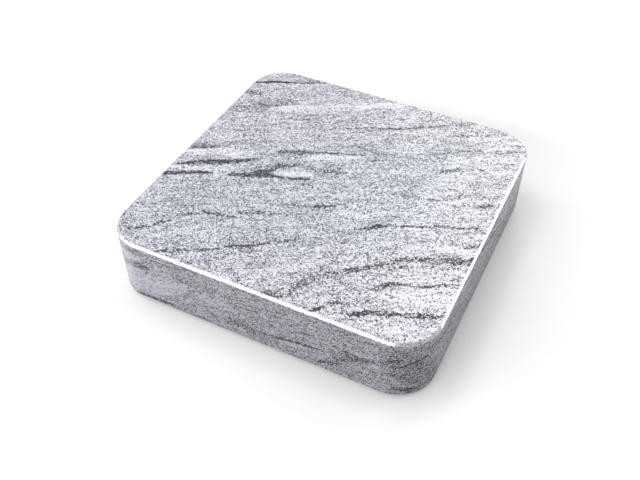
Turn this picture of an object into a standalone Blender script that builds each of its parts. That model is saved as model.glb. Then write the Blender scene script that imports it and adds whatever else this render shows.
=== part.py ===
"""Leather tooling slab: a thick square granite block on four low rubber feet.

The block is one solid stone with rounded corners, a chamfer around its polished top and a finer
one around its underside. Each foot is a rubber disc held to the stone by an adhesive disc.
The origin is on the bench under the middle of the slab: +X to the right along the front edge,
+Y to the back, +Z up. All sizes are in metres.
"""

import bmesh
import bpy
from mathutils import Vector

MM = 0.001

# The stone
SLAB_WIDTH = 304.8 * MM
SLAB_DEPTH = 304.8 * MM
SLAB_THICKNESS = 65.0 * MM
CORNER_RADIUS = 36.0 * MM
TOP_CHAMFER = 2.1 * MM
BOTTOM_CHAMFER = 1.0 * MM
CORNER_SEGMENTS = 24

# The feet: FOOT_INSET runs from the stone's side to the middle of a foot
FOOT_DIAMETER = 25.0 * MM
FOOT_HEIGHT = 2.0 * MM
FOOT_TAPER = 0.5 * MM
FOOT_EDGE_RADIUS = 0.5 * MM
FOOT_INSET = 45.0 * MM
ADHESIVE_THICKNESS = 0.5 * MM
ADHESIVE_MARGIN = 0.75 * MM
ROUND_SEGMENTS = 48
EDGE_SEGMENTS = 3

# Pieces that touch keep this gap, so that each stays a separate solid
CONTACT_GAP = 0.3 * MM
SAME_HEIGHT = 0.001 * MM

# Heights above the bench, from the feet up
ADHESIVE_BOTTOM = FOOT_HEIGHT + CONTACT_GAP
SLAB_BOTTOM = ADHESIVE_BOTTOM + ADHESIVE_THICKNESS + CONTACT_GAP

# Which way each corner lies from the middle
CORNERS = {
    "front_left": (-1, -1),
    "front_right": (1, -1),
    "back_left": (-1, 1),
    "back_right": (1, 1),
}


def clear_scene():
    for obj in list(bpy.data.objects):
        bpy.data.objects.remove(obj, do_unlink=True)


def make_material(name, colour, roughness, metallic=0.0):
    material = bpy.data.materials.new(name)
    material.use_nodes = True
    shader = material.node_tree.nodes["Principled BSDF"]
    shader.inputs["Base Color"].default_value = (*colour, 1.0)
    shader.inputs["Roughness"].default_value = roughness
    shader.inputs["Metallic"].default_value = metallic
    return material


def add_object(name, bm, material, location, parent):
    """Turns a bmesh into a named object with its own mesh, shaded smooth except at its edges."""
    bmesh.ops.recalc_face_normals(bm, faces=bm.faces)
    mesh = bpy.data.meshes.new(name)
    bm.to_mesh(mesh)
    bm.free()
    mesh.shade_smooth()
    mesh.set_sharp_from_angle(angle=0.5)
    mesh.materials.append(material)
    obj = bpy.data.objects.new(name, mesh)
    obj.location = location
    obj.parent = parent
    bpy.context.scene.collection.objects.link(obj)
    return obj


def rim_edges(bm, height):
    """The edges that lie level at this height: the outline of a flat end."""
    return [edge for edge in bm.edges if all(abs(vert.co.z - height) < SAME_HEIGHT for vert in edge.verts)]


def upright_edges(bm):
    return [edge for edge in bm.edges if abs(edge.verts[0].co.z - edge.verts[1].co.z) > SAME_HEIGHT]


def bevel_edges(bm, edges, width, segments):
    bmesh.ops.bevel(
        bm,
        geom=edges,
        offset=width,
        offset_type="OFFSET",
        segments=segments,
        profile=0.5,
        affect="EDGES",
        clamp_overlap=False,
    )


def granite_slab(material, parent):
    """A block from the saw: its corners are rounded first, then both rims are chamfered."""
    bm = bmesh.new()
    bmesh.ops.create_cube(bm, size=1.0)
    bmesh.ops.translate(bm, vec=(0.0, 0.0, 0.5), verts=bm.verts)
    bmesh.ops.scale(bm, vec=(SLAB_WIDTH, SLAB_DEPTH, SLAB_THICKNESS), verts=bm.verts)
    bevel_edges(bm, upright_edges(bm), CORNER_RADIUS, CORNER_SEGMENTS)
    bevel_edges(bm, rim_edges(bm, SLAB_THICKNESS), TOP_CHAMFER, 1)
    bevel_edges(bm, rim_edges(bm, 0.0), BOTTOM_CHAMFER, 1)
    return add_object("granite_slab", bm, material, (0.0, 0.0, SLAB_BOTTOM), parent)


def disc(lower_radius, upper_radius, height):
    """A round solid that stands on its own z = 0."""
    bm = bmesh.new()
    bmesh.ops.create_cone(
        bm,
        cap_ends=True,
        segments=ROUND_SEGMENTS,
        radius1=lower_radius,
        radius2=upper_radius,
        depth=height,
    )
    bmesh.ops.translate(bm, vec=(0.0, 0.0, height / 2), verts=bm.verts)
    return bm


def rubber_foot(name, spot, material, parent):
    """A moulded disc that is a little wider where it is stuck on, with a rounded rim on the bench."""
    radius = FOOT_DIAMETER / 2
    bm = disc(radius - FOOT_TAPER, radius, FOOT_HEIGHT)
    bevel_edges(bm, rim_edges(bm, 0.0), FOOT_EDGE_RADIUS, EDGE_SEGMENTS)
    return add_object(name, bm, material, spot, parent)


def adhesive_disc(name, spot, material, parent):
    radius = FOOT_DIAMETER / 2 - ADHESIVE_MARGIN
    bm = disc(radius, radius, ADHESIVE_THICKNESS)
    return add_object(name, bm, material, spot + Vector((0.0, 0.0, ADHESIVE_BOTTOM)), parent)


def foot_spot(side, end):
    """The point on the bench under the middle of the foot at this corner."""
    x = side * (SLAB_WIDTH / 2 - FOOT_INSET)
    y = end * (SLAB_DEPTH / 2 - FOOT_INSET)
    return Vector((x, y, 0.0))


def build():
    clear_scene()
    granite = make_material("granite", (0.52, 0.53, 0.58), 0.25)
    rubber = make_material("black rubber", (0.025, 0.025, 0.027), 0.75)
    adhesive = make_material("adhesive foam", (0.72, 0.71, 0.66), 0.6)

    assembly = bpy.data.objects.new("tooling_slab", None)
    bpy.context.scene.collection.objects.link(assembly)

    granite_slab(granite, assembly)
    for corner, (side, end) in CORNERS.items():
        spot = foot_spot(side, end)
        rubber_foot(f"foot_{corner}", spot, rubber, assembly)
        adhesive_disc(f"adhesive_{corner}", spot, adhesive, assembly)


if __name__ == "__main__":
    build()
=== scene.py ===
"""Looks of the leather tooling slab: polished granite with a dark, folded figure, on rubber feet."""

import math
import random

import bmesh
import bpy
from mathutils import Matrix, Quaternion, Vector


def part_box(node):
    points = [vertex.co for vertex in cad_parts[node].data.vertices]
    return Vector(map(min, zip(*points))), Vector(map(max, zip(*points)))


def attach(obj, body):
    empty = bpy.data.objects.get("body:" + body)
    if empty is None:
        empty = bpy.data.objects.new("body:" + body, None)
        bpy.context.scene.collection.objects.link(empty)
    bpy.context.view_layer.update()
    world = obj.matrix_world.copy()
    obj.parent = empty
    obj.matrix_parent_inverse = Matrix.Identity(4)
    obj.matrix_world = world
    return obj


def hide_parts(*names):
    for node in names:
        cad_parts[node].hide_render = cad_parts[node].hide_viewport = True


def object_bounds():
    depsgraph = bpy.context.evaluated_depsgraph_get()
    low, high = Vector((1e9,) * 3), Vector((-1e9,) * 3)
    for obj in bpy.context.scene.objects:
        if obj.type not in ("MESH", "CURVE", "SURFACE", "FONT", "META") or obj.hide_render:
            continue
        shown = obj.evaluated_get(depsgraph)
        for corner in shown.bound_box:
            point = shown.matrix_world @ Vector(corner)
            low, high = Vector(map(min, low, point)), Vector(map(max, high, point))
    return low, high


bl_info = {
    "name": "Granite tooling slab",
    "version": (1, 0, 0),
    "blender": (4, 5, 0),
    "location": "3D View > Sidebar > Tooling slab",
    "description": "Builds a polished granite slab for leatherwork on its rubber feet",
    "category": "Object",
}

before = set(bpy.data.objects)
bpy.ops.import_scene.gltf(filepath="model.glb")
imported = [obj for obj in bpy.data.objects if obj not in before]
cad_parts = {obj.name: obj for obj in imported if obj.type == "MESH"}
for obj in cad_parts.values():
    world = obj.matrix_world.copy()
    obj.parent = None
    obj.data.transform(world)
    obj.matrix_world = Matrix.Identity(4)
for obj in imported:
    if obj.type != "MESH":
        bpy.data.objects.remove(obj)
CAD_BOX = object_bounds()

MM = 0.001
BODY = "root"
CORNERS = ("front_left", "front_right", "back_left", "back_right")
TINY = 1e-5
SMOOTH_ANGLE = math.radians(28)

STONE_LOW, STONE_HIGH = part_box("granite_slab")


def stone_corner_radius():
    """How far the corners are rounded in plan, from where the front face stops being flat."""
    points = [vert.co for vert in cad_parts["granite_slab"].data.vertices]
    return STONE_HIGH.x - max(point.x for point in points if point.y < STONE_LOW.y + TINY)


def stone_chamfers():
    """(top, bottom) chamfer of the stone, from where its right face starts and stops."""
    points = [vert.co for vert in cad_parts["granite_slab"].data.vertices]
    heights = [point.z for point in points if point.x > STONE_HIGH.x - TINY]
    return STONE_HIGH.z - max(heights), min(heights) - STONE_LOW.z


CORNER_RADIUS = stone_corner_radius()
TOP_CHAMFER, BOTTOM_CHAMFER = stone_chamfers()


# ---------------------------------------------------------------- settings


class StoneSettings(bpy.types.PropertyGroup):
    """Sizes and finish of the stone"""

    corner_segments: bpy.props.IntProperty(
        name="Corner segments", description="Flats around each rounded corner", default=40, min=8
    )
    edge_softness: bpy.props.FloatProperty(
        name="Edge softness",
        description="Radius that polishing leaves on the chamfer's two edges",
        default=0.2 * MM,
        unit="LENGTH",
        precision=5,
    )
    chip_count: bpy.props.IntProperty(
        name="Edge chips", description="Small flakes missing from the lower edge", default=14, min=0
    )
    chip_size: bpy.props.FloatProperty(
        name="Chip size",
        description="Longest chip along the edge",
        default=1.6 * MM,
        unit="LENGTH",
        precision=5,
    )
    top_roughness: bpy.props.FloatProperty(
        name="Top roughness", description="Polish of the working face", default=0.28, subtype="FACTOR"
    )
    side_roughness: bpy.props.FloatProperty(
        name="Side roughness", description="Polish of the sides", default=0.3, subtype="FACTOR"
    )
    chamfer_roughness: bpy.props.FloatProperty(
        name="Chamfer roughness", description="Finish of the ground chamfer", default=0.1, subtype="FACTOR"
    )
    sawn_roughness: bpy.props.FloatProperty(
        name="Underside roughness", description="Finish of the sawn underside", default=0.8, subtype="FACTOR"
    )


class FigureSettings(bpy.types.PropertyGroup):
    """Colours and grain of the granite"""

    feldspar: bpy.props.FloatVectorProperty(
        name="Feldspar", description="Pale crystals", subtype="COLOR", default=(0.655, 0.68, 0.738)
    )
    pink_feldspar: bpy.props.FloatVectorProperty(
        name="Pink feldspar", description="Warm pale crystals", subtype="COLOR", default=(0.73, 0.71, 0.785)
    )
    quartz: bpy.props.FloatVectorProperty(
        name="Quartz", description="Grey, glassy crystals", subtype="COLOR", default=(0.215, 0.22, 0.255)
    )
    mica: bpy.props.FloatVectorProperty(
        name="Mica", description="Dark flakes", subtype="COLOR", default=(0.02, 0.021, 0.029)
    )
    grain_size: bpy.props.FloatProperty(
        name="Grain size", description="Width of a large crystal, in millimetres", default=1.75, min=0.2
    )
    mica_share: bpy.props.FloatProperty(
        name="Mica share",
        description="Share of dark flakes away from the veins",
        default=0.21,
        subtype="FACTOR",
    )


class FootSettings(bpy.types.PropertyGroup):
    """Sizes and colour of the rubber feet"""

    rings: bpy.props.IntProperty(name="Grip rings", description="Raised rings under a foot", default=3, min=0)
    ring_depth: bpy.props.FloatProperty(
        name="Ring depth",
        description="Depth of the grooves between the rings",
        default=0.25 * MM,
        unit="LENGTH",
        precision=5,
    )
    rubber: bpy.props.FloatVectorProperty(
        name="Rubber", description="Colour of the feet", subtype="COLOR", default=(0.022, 0.022, 0.024)
    )


class AdhesiveSettings(bpy.types.PropertyGroup):
    """Colour of the foam adhesive"""

    foam: bpy.props.FloatVectorProperty(
        name="Foam", description="Colour of the adhesive discs", subtype="COLOR", default=(0.72, 0.71, 0.66)
    )


class StageSettings(bpy.types.PropertyGroup):
    """Floor, light and camera"""

    floor: bpy.props.FloatVectorProperty(
        name="Floor", description="Colour of the floor", subtype="COLOR", default=(0.81, 0.81, 0.81)
    )
    floor_size: bpy.props.FloatProperty(
        name="Floor size", description="Width of the floor", default=12.0, unit="LENGTH"
    )
    sky: bpy.props.FloatProperty(
        name="Sky", description="Strength of the even light from above", default=0.15, min=0.0
    )
    walls: bpy.props.FloatProperty(name="Walls", description="Brightness of the walls", default=1.0, min=0.0)
    lens: bpy.props.FloatProperty(
        name="Lens", description="Focal length", default=43.64, subtype="DISTANCE_CAMERA"
    )
    azimuth: bpy.props.FloatProperty(
        name="Azimuth",
        description="Where the camera stands, turned from the front",
        default=math.radians(26.466),
        subtype="ANGLE",
    )
    elevation: bpy.props.FloatProperty(
        name="Elevation",
        description="How steeply the camera looks down",
        default=math.radians(44.21),
        subtype="ANGLE",
    )
    distance: bpy.props.FloatProperty(
        name="Distance", description="From the camera to its aim", default=0.7638, unit="LENGTH", precision=4
    )
    aim: bpy.props.FloatVectorProperty(
        name="Aim",
        description="The point that the camera looks at",
        default=(-5.46 * MM, -15.03 * MM, 3.88 * MM),
        subtype="TRANSLATION",
        unit="LENGTH",
        precision=5,
    )


# ---------------------------------------------------------------- modelling helpers


def deselect_all():
    if bpy.context.object and bpy.context.object.mode != "OBJECT":
        bpy.ops.object.mode_set(mode="OBJECT")
    bpy.ops.object.select_all(action="DESELECT")


def added_object(name):
    """Names the primitive that was just added, and its mesh."""
    obj = bpy.context.active_object
    obj.name = name
    obj.data.name = name
    return obj


def edit_edges(obj, test):
    """Goes into edit mode with just the edges selected that pass the test."""
    edit_nothing(obj)
    bm = bmesh.from_edit_mesh(obj.data)
    for edge in bm.edges:
        if test(edge):
            edge.select_set(True)
    bmesh.update_edit_mesh(obj.data)


def edit_faces(obj, test):
    """Goes into edit mode with just the faces selected that pass the test."""
    edit_nothing(obj)
    bpy.ops.mesh.select_mode(type="FACE")
    bm = bmesh.from_edit_mesh(obj.data)
    for face in bm.faces:
        if test(face):
            face.select_set(True)
    bmesh.update_edit_mesh(obj.data)


def edit_nothing(obj):
    bpy.context.view_layer.objects.active = obj
    if obj.mode != "EDIT":
        bpy.ops.object.mode_set(mode="EDIT")
    bpy.ops.mesh.select_mode(type="EDGE")
    bpy.ops.mesh.select_all(action="DESELECT")


def level_at(height):
    """A test for edges that lie level at this height."""
    return lambda edge: all(abs(vert.co.z - height) < TINY for vert in edge.verts)


def upright(edge):
    return abs(edge.verts[0].co.z - edge.verts[1].co.z) > TINY


def apply_modifiers(obj):
    bpy.ops.object.mode_set(mode="OBJECT")
    bpy.context.view_layer.objects.active = obj
    for modifier in list(obj.modifiers):
        bpy.ops.object.modifier_apply(modifier=modifier.name)


def settle(obj):
    """Moves the object's place into its mesh, and shades it smooth between its edges."""
    if obj.mode != "OBJECT":
        bpy.ops.object.mode_set(mode="OBJECT")
    deselect_all()
    obj.select_set(True)
    bpy.context.view_layer.objects.active = obj
    bpy.ops.object.transform_apply(location=True, rotation=True, scale=True)
    bpy.ops.object.shade_smooth_by_angle(angle=SMOOTH_ANGLE)


# ---------------------------------------------------------------- node helpers


class Nodes:
    """A node tree with short calls for the few kinds of node that the materials use."""

    def __init__(self, tree):
        self.tree = tree

    def add(self, kind, inputs=None, **settings):
        node = self.tree.nodes.new(kind)
        for name, value in settings.items():
            setattr(node, name, value)
        for name, value in (inputs or {}).items():
            self.put(node.inputs[name], value)
        return node

    def put(self, socket, value):
        """Links an output to the socket, or sets the socket to a value."""
        if isinstance(value, bpy.types.NodeSocket):
            self.tree.links.new(value, socket)
        else:
            socket.default_value = value

    def math(self, operation, a, b=0.0, clamp=False):
        node = self.add("ShaderNodeMath", {0: a, 1: b}, operation=operation, use_clamp=clamp)
        return node.outputs[0]

    def vector(self, operation, a, b):
        return self.add("ShaderNodeVectorMath", {0: a, 1: b}, operation=operation).outputs[0]

    def scaled(self, vector, factor):
        node = self.add("ShaderNodeVectorMath", {0: vector, "Scale": factor}, operation="SCALE")
        return node.outputs[0]

    def mapping(self, vector, kind="POINT", location=(0, 0, 0), rotation=(0, 0, 0), scale=(1, 1, 1)):
        inputs = {"Vector": vector, "Location": location, "Rotation": rotation, "Scale": scale}
        return self.add("ShaderNodeMapping", inputs, vector_type=kind).outputs[0]

    def ramp(self, value, low, high, to_low=0.0, to_high=1.0, kind="SMOOTHSTEP"):
        inputs = {"Value": value, "From Min": low, "From Max": high, "To Min": to_low, "To Max": to_high}
        return self.add("ShaderNodeMapRange", inputs, interpolation_type=kind).outputs[0]

    def noise(self, vector, scale, detail=2.0, roughness=0.5):
        inputs = {"Vector": vector, "Scale": scale, "Detail": detail, "Roughness": roughness}
        return self.add("ShaderNodeTexNoise", inputs)

    def crystals(self, vector, size):
        """Random cells of this width: (three random numbers of a cell, distance to its middle)."""
        inputs = {"Vector": vector, "Scale": 1.0 / size}
        cells = self.add("ShaderNodeTexVoronoi", inputs)
        parts = self.add("ShaderNodeSeparateColor", {"Color": cells.outputs["Color"]})
        return parts.outputs, cells.outputs["Distance"]

    def specks(self, vector, size, share, radius):
        """Dots in this share of random cells: how dark each point is. The radius is in cell widths."""
        chance, distance = self.crystals(vector, size)
        chosen = self.math("LESS_THAN", chance["Red"], share)
        dot = self.ramp(self.math("SUBTRACT", distance, radius), 0.05, -0.05)
        depth = self.ramp(chance["Green"], 0.0, 1.0, 0.8, 1.0)
        return self.math("MULTIPLY", self.math("MULTIPLY", chosen, dot), depth)

    def mix(self, factor, a, b, blend="MIX"):
        node = self.add("ShaderNodeMix", data_type="RGBA", blend_type=blend)
        self.put(node.inputs["Factor"], factor)
        self.put(node.inputs[6], a)
        self.put(node.inputs[7], b)
        return node.outputs[2]


def opaque(colour):
    return (*colour, 1.0)


def new_material(name):
    """(material, its nodes, its Principled shader)"""
    material = bpy.data.materials.new(name)
    material.use_nodes = True
    return material, Nodes(material.node_tree), material.node_tree.nodes["Principled BSDF"]


def bump(nodes, shader, height, distance, strength):
    inputs = {"Height": height, "Distance": distance, "Strength": strength}
    nodes.put(shader.inputs["Normal"], nodes.add("ShaderNodeBump", inputs).outputs[0])


# ---------------------------------------------------------------- the granite's figure

# The layers of the stone dip gently: they run STRIKE from the front edge across the top, and sink
# at DIP towards the back left. Lengths in this section are millimetres, from the middle of the top.
STRIKE = math.radians(30)
DIP = math.radians(20)
RUN_BACK = 1.0 / math.tan(DIP)
LAYER_SHIFT = Vector((-math.sin(STRIKE) * RUN_BACK, math.cos(STRIKE) * RUN_BACK, -1.0))
HALF = STONE_HIGH.x / MM

# Veins are laid this much wider than they are listed, because their edges fray
SPREAD = 1.12

# The bluer band through the middle: how far it lies off the middle, and where it turns pink
BLUE_BAND_OFFSET = 15.0
BLUE_BAND_EDGE = (55.0, 105.0)

# How much each mark adds to the share of dark flakes
FLAKE_WEIGHTS = {
    "wisps": 0.32,
    "streaks": 0.38,
    "blotches": 0.14,
    "threads": 0.45,
    "pale": -0.48,
    "dark": 0.68,
}

# Size of a fine flake against a coarse one, and how far the finer ones are moved off the others
FINE_FLAKE = 0.6
FINE_SHIFT = (40.0, 7.0, 3.0)
GRANITE_IOR = 1.54


def top(x, y):
    return Vector((x, y, 0.0))


def front(x, depth):
    """A point on the front face, this far below the top."""
    return Vector((x, -HALF, -depth))


def right(y, depth):
    return Vector((HALF, y, -depth))


def near_corner(turn, depth):
    """A point on the rounded corner between the front and the right face, turned this far to the right."""
    a = math.radians(turn)
    radius = CORNER_RADIUS / MM
    middle = HALF - radius
    return Vector((middle + radius * math.sin(a), -middle - radius * math.cos(a), -depth))


# Dark bands of mica: start, end, bow to the left of that way, half width, strength. The widest one only makes
# the whole near corner darker.
DARK_VEINS = (
    (top(-158, 113), top(-112, 134), 0.0, 3.2, 0.85),
    (top(-118, 131), top(-70, 153), 0.0, 3.0, 0.45),
    (top(-132, 76), top(-92, 106), 0.0, 9.0, 0.38),
    (top(-156, 95), top(-130, 101), 0.0, 6.0, 0.38),
    (top(-156, 60), top(-112, 76), 0.0, 8.0, 0.32),
    (top(-92, 68), top(-52, 86), 0.0, 3.0, 0.35),
    (top(-38, 78), top(92, 152), -5.0, 2.2, 0.48),
    (top(66, 112), top(132, 153), 0.0, 2.8, 0.32),
    (top(10, 40), top(98, 104), 0.0, 4.0, 0.28),
    (top(86, 96), top(160, 131), 0.0, 2.8, 0.38),
    (top(-20, 55), top(40, 66), 0.0, 4.0, 0.3),
    (top(-70, 19), top(-30, 34), 0.0, 4.5, 0.5),
    (top(-48, 27), top(12, 52), 0.0, 2.2, 0.5),
    (top(-68, -8), top(-38, 12), 0.0, 5.5, 0.5),
    (top(-50, 8), top(8, 20), -3.0, 4.5, 0.45),
    (top(-62, -17), top(-19, -3), -2.0, 2.8, 0.76),
    (top(-96, -33), top(-50, -15), 0.0, 4.5, 0.74),
    (top(-76, -26), top(-62, -12), 0.0, 6.0, 0.8),
    (top(-70, -24), top(-56, 4), 0.0, 6.0, 0.62),
    (top(-147, -41), top(-80, -1), 0.0, 3.8, 0.95),
    (top(-162, -64), top(-108, -36), 0.0, 3.6, 1.0),
    (top(-164, -17), top(-122, 0), 0.0, 4.5, 0.5),
    (top(-136, -136), top(-114, -122), 0.0, 2.8, 0.62),
    (top(-118, -122), top(-104, -110), 0.0, 3.0, 0.55),
    (top(-106, -104), top(-84, -90), 0.0, 2.6, 0.4),
    (top(-92, -88), top(-56, -82), -2.0, 3.0, 0.56),
    (top(-62, -78), top(-20, -56), 0.0, 3.5, 0.38),
    (top(-104, -154), top(-50, -122), 0.0, 2.3, 0.58),
    (top(-56, -127), top(-14, -97), 0.0, 2.0, 0.75),
    (top(-22, -101), top(8, -82), 0.0, 2.3, 0.45),
    (top(-30, -47), top(16, -30), 0.0, 3.0, 0.35),
    (top(-1, -37), top(11, -32), 0.0, 4.0, 0.75),
    (top(48, -47), top(76, -28), 0.0, 2.6, 0.5),
    (top(57, -40), top(67, -33), 0.0, 3.4, 0.85),
    (top(74, -31), top(146, 2), 1.5, 2.4, 0.7),
    (top(136, -4), top(143, 12), 0.0, 2.0, 0.4),
    (top(134, -29), top(162, -18), 0.0, 2.8, 0.6),
    (top(24, -136), top(62, -96), 1.0, 6.0, 0.38),
    (top(44, -110), top(104, -57), -2.0, 4.2, 0.55),
    (top(92, -66), top(200, -26), 4.0, 6.5, 0.62),
    (top(84, -82), top(156, -50), 4.0, 3.0, 0.4),
    (top(88, -90), top(106, -60), 0.0, 3.5, 0.4),
    (top(88, -103), top(113, -89), 1.0, 3.0, 0.55),
    (top(112, -91), top(190, -55), 2.0, 2.7, 0.75),
    (top(80, -142), top(98, -129), 0.0, 3.8, 1.0),
    (top(92, -133), top(118, -121), 0.0, 3.2, 0.75),
    (top(112, -125), top(156, -104), 0.0, 3.4, 0.64),
    (top(122, -121), top(138, -112), 0.0, 4.5, 0.8),
    (top(48, -153), top(62, -140), 0.0, 3.2, 0.8),
    (top(58, -137), top(76, -129), 0.0, 2.6, 0.55),
    (top(26, -144), top(37, -124), 0.0, 3.5, 0.5),
    (top(8, -150), top(34, -140), 0.0, 5.0, 0.5),
    (top(52, 6), top(100, 23), 0.0, 3.0, 0.33),
    (top(96, 20), top(124, 40), 0.0, 3.5, 0.33),
    (top(112, 19), top(138, 30), 0.0, 2.6, 0.4),
    (top(127, 24), top(158, 42), 0.0, 3.0, 0.6),
    (top(82, 52), top(102, 74), 0.0, 3.5, 0.4),
    (front(4, 50), front(66, 40), 0.0, 4.5, 0.62),
    (front(-26, 48), front(2, 52), 0.0, 10.0, 0.5),
    (front(-125, 62), front(-78, 60), 0.0, 6.0, 0.6),
    (front(60, 57), front(80, 50), 0.0, 8.0, 0.5),
    (front(76, 45), front(98, 34), 0.0, 10.0, 0.45),
    (front(36, 32), front(54, 27), 0.0, 6.0, 0.45),
    (front(102, 33), front(118, 24), 0.0, 6.0, 0.4),
    (front(-80, 20), front(-55, 25), 0.0, 8.0, 0.35),
    (near_corner(6, 25), near_corner(28, 17), 0.0, 6.0, 0.7),
    (near_corner(18, 30), near_corner(40, 23), 0.0, 5.0, 0.6),
    (near_corner(36, 25), near_corner(62, 20), 0.0, 5.0, 0.6),
    (near_corner(16, 55), near_corner(55, 62), 0.0, 8.0, 0.6),
    # makes the whole near corner darker, broad and faint
    (near_corner(8, 35), near_corner(80, 35), 0.0, 90.0, 0.28),
    (front(80, 31), front(104, 36), 0.0, 9.0, 0.45),
    (front(-120, 20), front(-98, 30), 0.0, 9.0, 0.4),
    (right(-140, 10), right(-60, 30), 0.0, 8.0, 0.4),
    (right(40, 30), right(110, 52), 0.0, 7.0, 0.4),
)

# Pale bands of feldspar, given in the same way. The widest band on the top is painted light over its right
# part, and the widest on the front makes its left end paler.
PALE_VEINS = (
    (top(-46, 17), top(8, 46), 0.0, 5.0, 0.6),
    (top(-60, -13), top(-20, 3), 1.0, 4.5, 0.75),
    (top(-75, 97), top(15, 147), 2.0, 8.0, 0.7),
    (top(-110, 80), top(-70, 102), 0.0, 9.0, 0.5),
    (top(-150, -20), top(-85, 8), 0.0, 9.0, 0.6),
    (top(-128, -38), top(-90, -22), 0.0, 5.0, 0.6),
    (top(-155, -48), top(-118, -36), 0.0, 4.0, 0.7),
    (top(112, 22), top(140, 34), 0.0, 6.0, 0.6),
    (top(104, -68), top(170, -52), 0.0, 8.0, 0.6),
    (top(92, -112), top(175, -80), 0.0, 10.0, 0.7),
    (top(110, -145), top(150, -125), 0.0, 8.0, 0.5),
    (top(15, -42), top(55, -24), 0.0, 5.0, 0.4),
    (top(108, -38), top(150, -30), 0.0, 5.0, 0.6),
    (top(90, 125), top(150, 142), 0.0, 14.0, 0.4),
    # painted light: the right part of the top made paler, as light from the right would make it
    (top(140, -150), top(150, 150), 0.0, 75.0, 0.35),
    (front(-134, 12), front(-112, 18), 0.0, 12.0, 0.9),
    # makes the left end of the front paler, broad and faint
    (front(-150, 40), front(-80, 45), 0.0, 60.0, 0.8),
    (front(-60, 33), front(-15, 36), 0.0, 12.0, 0.5),
    (front(20, 52), front(56, 46), 0.0, 10.0, 0.5),
)


def layer_point(point):
    """Where the layer that this point is in comes up to the top."""
    return point + point.z * LAYER_SHIFT


def vein_group():
    """Lays one vein on a map whose X and Y are millimetres and whose Z is the strongest vein so far.

    Each vein waits for the one before it, so the shader never holds more than one of them at a time.
    """
    tree = bpy.data.node_groups.new("vein", "ShaderNodeTree")
    vectors = ("Map", "Start", "Turn", "Reach")
    for name in vectors + ("Bow", "Half width", "Strength"):
        kind = "NodeSocketVector" if name in vectors else "NodeSocketFloat"
        tree.interface.new_socket(name, in_out="INPUT", socket_type=kind)
    tree.interface.new_socket("Map", in_out="OUTPUT", socket_type="NodeSocketVector")
    nodes = Nodes(tree)
    given = nodes.add("NodeGroupInput").outputs
    layer = nodes.add("ShaderNodeSeparateXYZ", {0: given["Map"]}).outputs

    # the vein's chord runs along X from 0 to 1, and Y is across it in millimetres
    chord = nodes.mapping(given["Map"], "TEXTURE", given["Start"], given["Turn"], given["Reach"])
    place = nodes.add("ShaderNodeSeparateXYZ", {0: chord}).outputs
    rest = nodes.math("SUBTRACT", 1.0, place["X"])
    arch = nodes.math("MULTIPLY", nodes.math("MULTIPLY", place["X"], rest), 4.0, clamp=True)
    off_line = nodes.math("SUBTRACT", place["Y"], nodes.math("MULTIPLY", arch, given["Bow"]))
    half_width = nodes.math("MULTIPLY", nodes.math("SQRT", arch), given["Half width"])
    share = nodes.math("DIVIDE", nodes.math("ABSOLUTE", off_line), nodes.math("MAXIMUM", half_width, 0.001))
    shape = nodes.math("MULTIPLY", nodes.ramp(share, 1.0, 0.4), given["Strength"])
    strongest = nodes.math("MAXIMUM", layer["Z"], shape)
    together = nodes.add("ShaderNodeCombineXYZ", {"X": layer["X"], "Y": layer["Y"], "Z": strongest})
    nodes.add("NodeGroupOutput", {"Map": together.outputs[0]})
    return tree


def vein_map(nodes, group, layer, veins):
    """The strongest of these veins at each point."""
    running = nodes.vector("MULTIPLY", layer, (1.0, 1.0, 0.0))
    for start, end, bow, half_width, strength in veins:
        begin = layer_point(start)
        chord = layer_point(end) - begin
        inputs = {
            "Map": running,
            "Start": (begin.x, begin.y, 0.0),
            "Turn": (0.0, 0.0, math.atan2(chord.y, chord.x)),
            "Reach": (chord.xy.length, 1.0, 1.0),
            "Bow": bow,
            "Half width": half_width * SPREAD,
            "Strength": strength,
        }
        vein = nodes.add("ShaderNodeGroup", node_tree=group)
        for name, value in inputs.items():
            nodes.put(vein.inputs[name], value)
        running = vein.outputs["Map"]
    return nodes.add("ShaderNodeSeparateXYZ", {0: running}).outputs["Z"]


def layer_noise(nodes, layer, size, detail=2.0, roughness=0.5):
    """Noise whose marks lie along the layers: size is their length, width and depth in millimetres."""
    place = nodes.mapping(layer, kind="TEXTURE", rotation=(0, 0, STRIKE), scale=size)
    return nodes.noise(place, 1.0, detail=detail, roughness=roughness).outputs[0]


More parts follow.
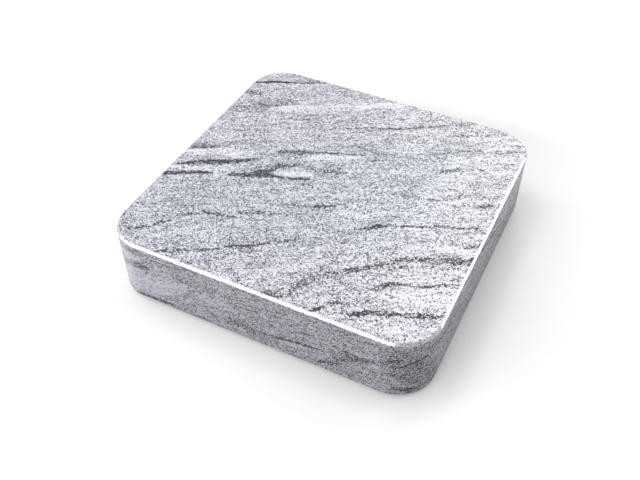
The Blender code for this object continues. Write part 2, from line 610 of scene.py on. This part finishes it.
def figure_group(figure):
    """The stone all through: (colour, where it is mica, height of the grain)."""
    tree = bpy.data.node_groups.new("granite figure", "ShaderNodeTree")
    tree.interface.new_socket("Color", in_out="OUTPUT", socket_type="NodeSocketColor")
    tree.interface.new_socket("Mica", in_out="OUTPUT", socket_type="NodeSocketFloat")
    tree.interface.new_socket("Grain", in_out="OUTPUT", socket_type="NodeSocketFloat")
    nodes = Nodes(tree)

    # millimetres from the middle of the top
    where = nodes.add("ShaderNodeTexCoord").outputs["Object"]
    to_mm = 1.0 / MM
    stone = nodes.mapping(where, location=(0, 0, -STONE_HIGH.z * to_mm), scale=(to_mm, to_mm, to_mm))

    # the layers waver on two scales
    middle = (0.5, 0.5, 0.5)
    drift = nodes.vector("SUBTRACT", nodes.noise(stone, 1 / 38.0).outputs["Color"], middle)
    ragged = nodes.vector("SUBTRACT", nodes.noise(stone, 1 / 4.0, detail=3.0).outputs["Color"], middle)
    wander = nodes.vector("ADD", nodes.scaled(drift, 8.0), nodes.scaled(ragged, 5.0))
    wandering = nodes.vector("ADD", stone, wander)
    height = nodes.add("ShaderNodeSeparateXYZ", {0: stone}).outputs["Z"]
    layer = nodes.vector("ADD", wandering, nodes.scaled(LAYER_SHIFT, height))

    # veins, frayed and broken up along their length
    vein = vein_group()
    breaks = nodes.ramp(layer_noise(nodes, layer, (7.0, 2.0, 1.0), 3.0, 0.65), 0.3, 0.6, 0.35, 1.2)
    dark = nodes.math("POWER", vein_map(nodes, vein, layer, DARK_VEINS), 1.2)
    dark = nodes.math("MULTIPLY", dark, breaks, clamp=True)
    pale = vein_map(nodes, vein, layer, PALE_VEINS)

    # wisps, short streaks, blotches and thin threads between the veins
    wisps = nodes.ramp(layer_noise(nodes, layer, (55.0, 7.0, 30.0), 4.0, 0.65), 0.38, 0.68)
    streaks = nodes.ramp(layer_noise(nodes, layer, (14.0, 2.4, 6.0)), 0.35, 0.68)
    blotches = nodes.ramp(layer_noise(nodes, layer, (26.0, 14.0, 20.0), 3.0), 0.35, 0.65)
    off_thread = nodes.math("SUBTRACT", layer_noise(nodes, layer, (70.0, 8.0, 40.0), 1.0), 0.5)
    threads = nodes.ramp(nodes.math("ABSOLUTE", off_thread), 0.03, 0.0)

    # the middle of the slab is bluer, and the layers on both sides of it are pinker
    across = nodes.add("ShaderNodeSeparateXYZ", {0: nodes.mapping(layer, "TEXTURE", rotation=(0, 0, STRIKE))})
    away = nodes.math("ABSOLUTE", nodes.math("ADD", across.outputs["Y"], BLUE_BAND_OFFSET))
    clouds = nodes.math("SUBTRACT", layer_noise(nodes, layer, (60.0, 25.0, 40.0)), 0.5)
    pink = nodes.ramp(nodes.math("ADD", away, nodes.math("MULTIPLY", clouds, 90.0)), *BLUE_BAND_EDGE)

    # how crowded the dark flakes are
    marks = {"wisps": wisps, "streaks": streaks, "blotches": blotches, "threads": threads}
    marks.update(pale=pale, dark=dark)
    share = figure.mica_share
    for name, weight in FLAKE_WEIGHTS.items():
        share = nodes.math("ADD", share, nodes.math("MULTIPLY", marks[name], weight))
    radius = nodes.math("ADD", 0.49, nodes.math("MULTIPLY", dark, 0.23))

    # crystals lie flat in the layers
    flat = nodes.mapping(stone, rotation=(DIP * math.cos(STRIKE), DIP * math.sin(STRIKE), 0))
    squashed = nodes.mapping(flat, kind="TEXTURE", rotation=(0, 0, STRIKE), scale=(0.92, 1.05, 0.85))
    large, large_middle = nodes.crystals(squashed, figure.grain_size * 0.8)
    coarse = nodes.specks(squashed, figure.grain_size, nodes.math("MULTIPLY", share, 0.62), radius)
    fine_place = nodes.vector("ADD", squashed, FINE_SHIFT)
    fine = nodes.specks(fine_place, figure.grain_size * FINE_FLAKE, share, radius)
    mica = nodes.math("MAXIMUM", coarse, nodes.math("MULTIPLY", fine, 0.9))
    mica = nodes.math("MULTIPLY", mica, nodes.ramp(dark, 0.15, 0.6, 1.0, 1.35), clamp=True)

    # feldspar, blue or pink, then quartz, then mica over both
    tone = nodes.mix(nodes.math("MAXIMUM", pink, pale), opaque(figure.feldspar), opaque(figure.pink_feldspar))
    glassy = nodes.ramp(large["Blue"], 0.15, 1.0, 0.0, 0.58, kind="LINEAR")
    glassy = nodes.math("MULTIPLY", glassy, nodes.ramp(pale, 0.0, 1.0, 1.0, 0.4))
    glassy = nodes.math("ADD", glassy, nodes.math("MULTIPLY", wisps, 0.1), clamp=True)
    colour = nodes.mix(glassy, tone, opaque(figure.quartz))
    colour = nodes.mix(nodes.math("MULTIPLY", dark, 0.28), colour, opaque(figure.quartz))
    colour = nodes.mix(mica, colour, opaque(figure.mica))
    nodes.add("NodeGroupOutput", {"Color": colour, "Mica": mica, "Grain": large_middle})
    return tree


def granite(name, group, roughness, shade=1.0, lighten=0.0, relief=0.01 * MM, flake_roughness=0.45):
    """A finish of the granite: the same figure under a polished, ground or sawn surface.

    Shade darkens the colour and makes it a touch bluer: painted shade. Lighten mixes pale grey in: painted
    highlight on the chamfer, the paler sawn stone on the underside. The flakes of mica are rougher than the
    rest.
    """
    material, nodes, shader = new_material(name)
    figure = nodes.add("ShaderNodeGroup", node_tree=group).outputs
    colour = figure["Color"]
    if shade != 1.0:
        # painted shade: the colour made darker and a touch bluer than the top's
        colour = nodes.mix(1.0, colour, (shade, shade, shade * 1.03, 1.0), blend="MULTIPLY")
    if lighten:
        # pale grey mixed in: painted highlight on the chamfer, the paler sawn stone on the underside
        colour = nodes.mix(lighten, colour, (0.9, 0.9, 0.92, 1.0))
    nodes.put(shader.inputs["Base Color"], colour)
    dull = nodes.math("MULTIPLY", figure["Mica"], flake_roughness)
    nodes.put(shader.inputs["Roughness"], nodes.math("ADD", roughness, dull))
    shader.inputs["IOR"].default_value = GRANITE_IOR
    if relief:
        bump(nodes, shader, figure["Grain"], relief, 0.5)
    return material


def sawn_granite(group, roughness):
    """The underside as the saw left it: dull, with fine parallel marks."""
    material = granite("granite sawn", group, roughness, lighten=0.12, relief=0.0)
    nodes = Nodes(material.node_tree)
    shader = material.node_tree.nodes["Principled BSDF"]
    where = nodes.add("ShaderNodeTexCoord").outputs["Object"]
    stretched = nodes.mapping(where, scale=(6.0, 900.0, 6.0))
    marks = nodes.noise(stretched, 1.0, detail=4.0).outputs[0]
    pits = nodes.noise(where, 700.0, detail=3.0).outputs[0]
    bump(nodes, shader, nodes.math("ADD", marks, nodes.math("MULTIPLY", pits, 0.6)), 0.15 * MM, 0.8)
    return material


# ---------------------------------------------------------------- the stone


def chip_cutter(settings):
    """Small angular lumps along the lower edge, which the stone loses as chips."""
    rng = random.Random(12)
    side = STONE_HIGH.x - CORNER_RADIUS
    lumps = []
    for _ in range(settings.chip_count):
        along = rng.uniform(-side, side)
        spot = rng.choice((
            Vector((along, STONE_LOW.y, STONE_LOW.z)),
            Vector((along, STONE_HIGH.y, STONE_LOW.z)),
            Vector((STONE_LOW.x, along, STONE_LOW.z)),
            Vector((STONE_HIGH.x, along, STONE_LOW.z)),
        ))
        size = settings.chip_size * rng.uniform(0.45, 1.0)
        out = Vector((spot.x if abs(spot.x) > side else 0.0, spot.y if abs(spot.y) > side else 0.0, 0.0))
        centre = spot - out.normalized() * BOTTOM_CHAMFER * 0.35 + Vector((0, 0, BOTTOM_CHAMFER * 0.35))
        deselect_all()
        bpy.ops.mesh.primitive_ico_sphere_add(
            subdivisions=1,
            radius=size / 2,
            location=centre,
            rotation=[rng.uniform(0, math.tau) for _ in range(3)],
            scale=(1.0, rng.uniform(0.7, 1.0), rng.uniform(0.6, 0.9)),
        )
        lumps.append(bpy.context.active_object)
    deselect_all()
    for lump in lumps:
        lump.select_set(True)
    bpy.context.view_layer.objects.active = lumps[0]
    bpy.ops.object.join()
    return added_object("chip_cutter")


def chip_edge(stone, settings):
    """Takes the chips out of the stone's lower edge."""
    cutter = chip_cutter(settings)
    modifier = stone.modifiers.new("chips", "BOOLEAN")
    modifier.operation = "DIFFERENCE"
    modifier.use_self = True
    modifier.object = cutter
    apply_modifiers(stone)
    bpy.data.objects.remove(cutter, do_unlink=True)


def model_stone(settings):
    """A sawn block: corners rounded, both rims chamfered, the chamfer's edges eased."""
    size = STONE_HIGH - STONE_LOW
    deselect_all()
    bpy.ops.mesh.primitive_cube_add(size=1.0, location=(STONE_LOW + STONE_HIGH) / 2)
    stone = added_object("tooling_stone")
    stone.scale = size
    bpy.ops.object.transform_apply(location=True, rotation=True, scale=True)
    edit_edges(stone, upright)
    bpy.ops.mesh.bevel(offset=CORNER_RADIUS, segments=settings.corner_segments, affect="EDGES")
    edit_edges(stone, level_at(STONE_HIGH.z))
    bpy.ops.mesh.bevel(offset=TOP_CHAMFER, segments=1, affect="EDGES")
    edit_edges(stone, level_at(STONE_LOW.z))
    bpy.ops.mesh.bevel(offset=BOTTOM_CHAMFER, segments=5, affect="EDGES")
    chamfer_edges = (level_at(STONE_HIGH.z), level_at(STONE_HIGH.z - TOP_CHAMFER))
    edit_edges(stone, lambda edge: any(test(edge) for test in chamfer_edges))
    bpy.ops.mesh.bevel(offset=settings.edge_softness, segments=4, affect="EDGES")
    bpy.ops.object.mode_set(mode="OBJECT")
    if settings.chip_count:
        chip_edge(stone, settings)
    settle(stone)
    shade_flats(stone)
    return stone


def shade_flats(stone):
    """Lets the big flat faces keep their own normals beside the small rounded edges."""
    modifier = stone.modifiers.new("flat faces", "WEIGHTED_NORMAL")
    modifier.keep_sharp = True
    modifier.weight = 100
    apply_modifiers(stone)


def finish_stone(stone, settings, figure):
    """Gives each face of the stone its own finish."""
    group = figure_group(figure)
    # the chamfer's colour carries painted shade, darkened like the sides, and a painted highlight, pale grey
    # mixed in so its reflected line shows white
    chamfer = {"shade": 0.62, "lighten": 0.22, "relief": 0.001 * MM, "flake_roughness": 0.03}
    finishes = (
        granite("granite polished top", group, settings.top_roughness),
        # painted shade: the sides' colour is half as bright as the top's and a touch bluer, standing in for
        # less light on them
        granite("granite polished side painted shade", group, settings.side_roughness, shade=0.5),
        granite("granite chamfer painted shade and highlight", group, settings.chamfer_roughness, **chamfer),
        sawn_granite(group, settings.sawn_roughness),
    )
    for material in finishes:
        stone.data.materials.append(material)
    chamfer_floor = STONE_HIGH.z - TOP_CHAMFER - settings.edge_softness
    for face in stone.data.polygons:
        if face.normal.z > 0.999:
            face.material_index = 0
        elif face.normal.z < -0.999:
            face.material_index = 3
        elif face.center.z > chamfer_floor and face.normal.z > 0.05:
            face.material_index = 2
        else:
            face.material_index = 1


class OBJECT_OT_tooling_stone(bpy.types.Operator):
    """Models the granite block and gives it its figure and finishes"""

    bl_idname = "object.tooling_stone"
    bl_label = "Granite stone"

    def execute(self, context):
        settings = context.scene.slab_stone
        stone = model_stone(settings)
        finish_stone(stone, settings, context.scene.slab_figure)
        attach(stone, BODY)
        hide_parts("granite_slab")
        return {"FINISHED"}


# ---------------------------------------------------------------- the feet

FOOT_TAPER = 0.96
FOOT_RIM = 0.45 * MM
OUTER_LAND = 0.22


def rubber_material(colour):
    material, nodes, shader = new_material("moulded rubber")
    where = nodes.add("ShaderNodeTexCoord").outputs["Object"]
    dust = nodes.ramp(nodes.noise(where, 260.0, detail=5.0).outputs[0], 0.45, 0.8, 0.0, 0.12)
    nodes.put(shader.inputs["Base Color"], nodes.mix(dust, opaque(colour), (0.3, 0.3, 0.3, 1.0)))
    skin = nodes.noise(where, 2500.0, detail=2.0).outputs[0]
    nodes.put(shader.inputs["Roughness"], nodes.ramp(skin, 0.3, 0.7, 0.62, 0.82))
    bump(nodes, shader, skin, 0.03 * MM, 0.6)
    return material


def model_foot(name, low, high, settings):
    """A moulded disc that tapers to its underside, with grip rings and a rounded rim."""
    middle = (low + high) / 2
    radius = (high.x - low.x) / 2
    deselect_all()
    bpy.ops.mesh.primitive_cylinder_add(vertices=96, radius=radius, depth=high.z - low.z, location=middle)
    foot = added_object(name)
    bpy.ops.object.transform_apply(location=True, rotation=False, scale=False)
    edit_faces(foot, lambda face: face.normal.z < -0.9)
    centre = (middle.x, middle.y, low.z)
    bpy.ops.transform.resize(value=(FOOT_TAPER, FOOT_TAPER, 1.0), center_override=centre)
    edge = radius * FOOT_TAPER
    land = edge * OUTER_LAND
    bpy.ops.mesh.inset(thickness=land, depth=0.0)
    groove = (edge - land) / (2 * settings.rings + 1)
    for _ in range(settings.rings):
        bpy.ops.mesh.inset(thickness=groove * 0.2, depth=-settings.ring_depth)
        bpy.ops.mesh.inset(thickness=groove * 0.6, depth=0.0)
        bpy.ops.mesh.inset(thickness=groove * 0.2, depth=settings.ring_depth)
        bpy.ops.mesh.inset(thickness=groove, depth=0.0)
    at_underside = level_at(low.z)

    def around_rim(side):
        return at_underside(side) and all((vert.co.xy - middle.xy).length > edge * 0.98 for vert in side.verts)

    edit_edges(foot, around_rim)
    bpy.ops.mesh.bevel(offset=FOOT_RIM, segments=4, affect="EDGES")
    settle(foot)
    return foot


class OBJECT_OT_rubber_feet(bpy.types.Operator):
    """Models the four rubber feet, each up to its adhesive disc"""

    bl_idname = "object.rubber_feet"
    bl_label = "Rubber feet"

    def execute(self, context):
        settings = context.scene.slab_feet
        material = rubber_material(settings.rubber)
        for corner in CORNERS:
            low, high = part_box(f"foot_{corner}")
            disc_low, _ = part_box(f"adhesive_{corner}")
            high.z = (high.z + disc_low.z) / 2
            foot = model_foot(f"rubber_foot_{corner}", low, high, settings)
            foot.data.materials.append(material)
            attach(foot, BODY)
            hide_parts(f"foot_{corner}")
        return {"FINISHED"}


# ---------------------------------------------------------------- the adhesive discs

DISC_SET_BACK = 0.1 * MM
DISC_RIM = 0.12 * MM


def foam_material(colour):
    material, nodes, shader = new_material("adhesive foam")
    where = nodes.add("ShaderNodeTexCoord").outputs["Object"]
    cells = nodes.noise(where, 3000.0, detail=3.0).outputs[0]
    pores = nodes.ramp(cells, 0.35, 0.7, 0.0, 0.35)
    nodes.put(shader.inputs["Base Color"], nodes.mix(pores, opaque(colour), (0.5, 0.48, 0.42, 1.0)))
    shader.inputs["Roughness"].default_value = 0.7
    bump(nodes, shader, cells, 0.06 * MM, 0.8)
    return material


def model_disc(name, low, high):
    """A foam disc with rounded rims, set back a little from the foot's edge."""
    middle = (low + high) / 2
    radius = (high.x - low.x) / 2 - DISC_SET_BACK
    deselect_all()
    bpy.ops.mesh.primitive_cylinder_add(vertices=96, radius=radius, depth=high.z - low.z, location=middle)
    disc = added_object(name)
    bpy.ops.object.transform_apply(location=True, rotation=False, scale=False)
    edit_edges(disc, lambda edge: not upright(edge))
    bpy.ops.mesh.bevel(offset=DISC_RIM, segments=3, affect="EDGES")
    settle(disc)
    return disc


class OBJECT_OT_adhesive_discs(bpy.types.Operator):
    """Models the four foam discs that hold the feet to the stone"""

    bl_idname = "object.adhesive_discs"
    bl_label = "Adhesive discs"

    def execute(self, context):
        material = foam_material(context.scene.slab_adhesive.foam)
        for corner in CORNERS:
            low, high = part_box(f"adhesive_{corner}")
            _, foot_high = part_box(f"foot_{corner}")
            low.z = (low.z + foot_high.z) / 2
            high.z = STONE_LOW.z
            disc = model_disc(f"foam_disc_{corner}", low, high)
            disc.data.materials.append(material)
            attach(disc, BODY)
            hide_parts(f"adhesive_{corner}")
        return {"FINISHED"}


# ---------------------------------------------------------------- the stage

# Soft lights that face the slab: heading from the back, turning to the left, and elevation in degrees,
# distance, width and height in metres, power in watts, and roll in degrees. The two strips are the ones
# that shine back from the chamfer.
SOFTBOXES = {
    "back_low_softbox": (0, 30, 1.6, 0.8, 0.45, 5.0, 0),
    "back_softbox": (0, 50, 1.6, 0.8, 0.5, 4.9, 0),
    "overhead_softbox": (0, 90, 1.6, 1.2, 1.2, 5.9, 0),
    "left_softbox": (90, 50, 1.6, 0.8, 0.5, 3.2, 0),
    "left_high_softbox": (90, 70, 1.6, 0.8, 0.5, 4.7, 0),
    "left_low_softbox": (120, 10, 1.6, 0.7, 0.25, 10.6, 0),
    "right_softbox": (-60, 50, 1.6, 0.8, 0.5, 4.6, 0),
    "front_strip": (156, 33, 1.5, 2.1, 0.14, 17.2, 13),
    "back_right_strip": (-48.5, 9.4, 1.5, 0.62, 0.13, 4.3, -11),
}

# The floor fades out between these distances from its middle, in metres
FLOOR_FADE_START = 0.8
FLOOR_FADE_END = 1.6

# The walls end and the sky begins between these elevations
HORIZON_LOW = math.radians(6)
HORIZON_HIGH = math.radians(20)


def direction(heading, elevation):
    """A unit vector: heading 0 is +Y, and it turns to the left."""
    a = math.radians(heading)
    e = math.radians(elevation)
    return Vector((-math.sin(a) * math.cos(e), math.cos(a) * math.cos(e), math.sin(e)))


def add_softbox(name, heading, elevation, distance, width, height, power, roll):
    data = bpy.data.lights.new(name, "AREA")
    data.shape = "RECTANGLE"
    data.size = width
    data.size_y = height
    data.energy = power
    light = bpy.data.objects.new(name, data)
    bpy.context.scene.collection.objects.link(light)
    way = direction(heading, elevation)
    light.location = way * distance
    light.rotation_mode = "QUATERNION"
    rolled = Quaternion((0.0, 0.0, 1.0), math.radians(roll))
    light.rotation_quaternion = way.to_track_quat("Z", "Y") @ rolled


def add_floor(stage):
    deselect_all()
    bpy.ops.mesh.primitive_plane_add(size=stage.floor_size, location=(0, 0, CAD_BOX[0].z))
    floor = added_object("studio_floor")
    bpy.ops.object.transform_apply(location=True, rotation=False, scale=False)
    material, nodes, shader = new_material("studio floor")
    where = nodes.add("ShaderNodeTexCoord").outputs["Object"]
    mottle = nodes.ramp(nodes.noise(where, 3.0).outputs[0], 0.3, 0.7, 0.0, 0.02)
    nodes.put(shader.inputs["Base Color"], nodes.mix(mottle, opaque(stage.floor), (0.8, 0.8, 0.8, 1.0)))
    shader.inputs["Roughness"].default_value = 0.95
    shader.inputs["Specular IOR Level"].default_value = 0.0
    away = nodes.add("ShaderNodeVectorMath", {0: where}, operation="LENGTH").outputs["Value"]
    nodes.put(shader.inputs["Alpha"], nodes.ramp(away, FLOOR_FADE_END, FLOOR_FADE_START))
    floor.data.materials.append(material)


def add_camera(stage):
    """Looks down on the slab from beyond its near right corner."""
    data = bpy.data.cameras.new("camera")
    data.lens = stage.lens
    camera = bpy.data.objects.new("camera", data)
    bpy.context.scene.collection.objects.link(camera)
    a = stage.azimuth
    e = stage.elevation
    back = Vector((math.sin(a) * math.cos(e), -math.cos(a) * math.cos(e), math.sin(e)))
    camera.location = Vector(stage.aim) + back * stage.distance
    camera.rotation_mode = "QUATERNION"
    camera.rotation_quaternion = (-back).to_track_quat("-Z", "Y")
    bpy.context.scene.camera = camera


def studio_world(stage):
    """Pale walls low down, and a dim even light from above them."""
    world = bpy.data.worlds.new("studio")
    world.use_nodes = True
    nodes = Nodes(world.node_tree)
    way = nodes.add("ShaderNodeTexCoord").outputs["Generated"]
    height = nodes.add("ShaderNodeSeparateXYZ", {0: way}).outputs["Z"]
    low = math.sin(HORIZON_LOW)
    high = math.sin(HORIZON_HIGH)
    background = world.node_tree.nodes["Background"]
    background.inputs["Color"].default_value = (1.0, 1.0, 1.0, 1.0)
    nodes.put(background.inputs["Strength"], nodes.ramp(height, low, high, stage.walls, stage.sky))
    return world


class SCENE_OT_slab_stage(bpy.types.Operator):
    """Adds the floor, the soft studio lights and the camera"""

    bl_idname = "scene.slab_stage"
    bl_label = "Stage"

    def execute(self, context):
        stage = context.scene.slab_stage
        add_floor(stage)
        add_camera(stage)
        for name, values in SOFTBOXES.items():
            add_softbox(name, *values)
        context.scene.world = studio_world(stage)
        context.scene.view_settings.view_transform = "Standard"
        return {"FINISHED"}


# ---------------------------------------------------------------- the add-on

OPERATORS = (
    SCENE_OT_slab_stage,
    OBJECT_OT_tooling_stone,
    OBJECT_OT_adhesive_discs,
    OBJECT_OT_rubber_feet,
)


class VIEW3D_PT_tooling_slab(bpy.types.Panel):
    """Lists the steps that build the slab, with their settings"""

    bl_label = "Tooling slab"
    bl_idname = "VIEW3D_PT_tooling_slab"
    bl_space_type = "VIEW_3D"
    bl_region_type = "UI"
    bl_category = "Tooling slab"

    def draw(self, context):
        for operator in OPERATORS:
            self.layout.operator(operator.bl_idname)
        for name in SETTINGS:
            box = self.layout.box()
            group = getattr(context.scene, name)
            for key in group.bl_rna.properties.keys():
                if key not in ("rna_type", "name"):
                    box.prop(group, key)


SETTINGS = {
    "slab_stone": StoneSettings,
    "slab_figure": FigureSettings,
    "slab_feet": FootSettings,
    "slab_adhesive": AdhesiveSettings,
    "slab_stage": StageSettings,
}
CLASSES = (*SETTINGS.values(), *OPERATORS, VIEW3D_PT_tooling_slab)


def register():
    for cls in CLASSES:
        bpy.utils.register_class(cls)
    for name, group in SETTINGS.items():
        setattr(bpy.types.Scene, name, bpy.props.PointerProperty(type=group))


def unregister():
    for name in SETTINGS:
        delattr(bpy.types.Scene, name)
    for cls in reversed(CLASSES):
        bpy.utils.unregister_class(cls)


def main():
    register()
    bpy.ops.scene.slab_stage()
    bpy.ops.object.tooling_stone()
    bpy.ops.object.adhesive_discs()
    bpy.ops.object.rubber_feet()


if __name__ == "__main__":
    main()
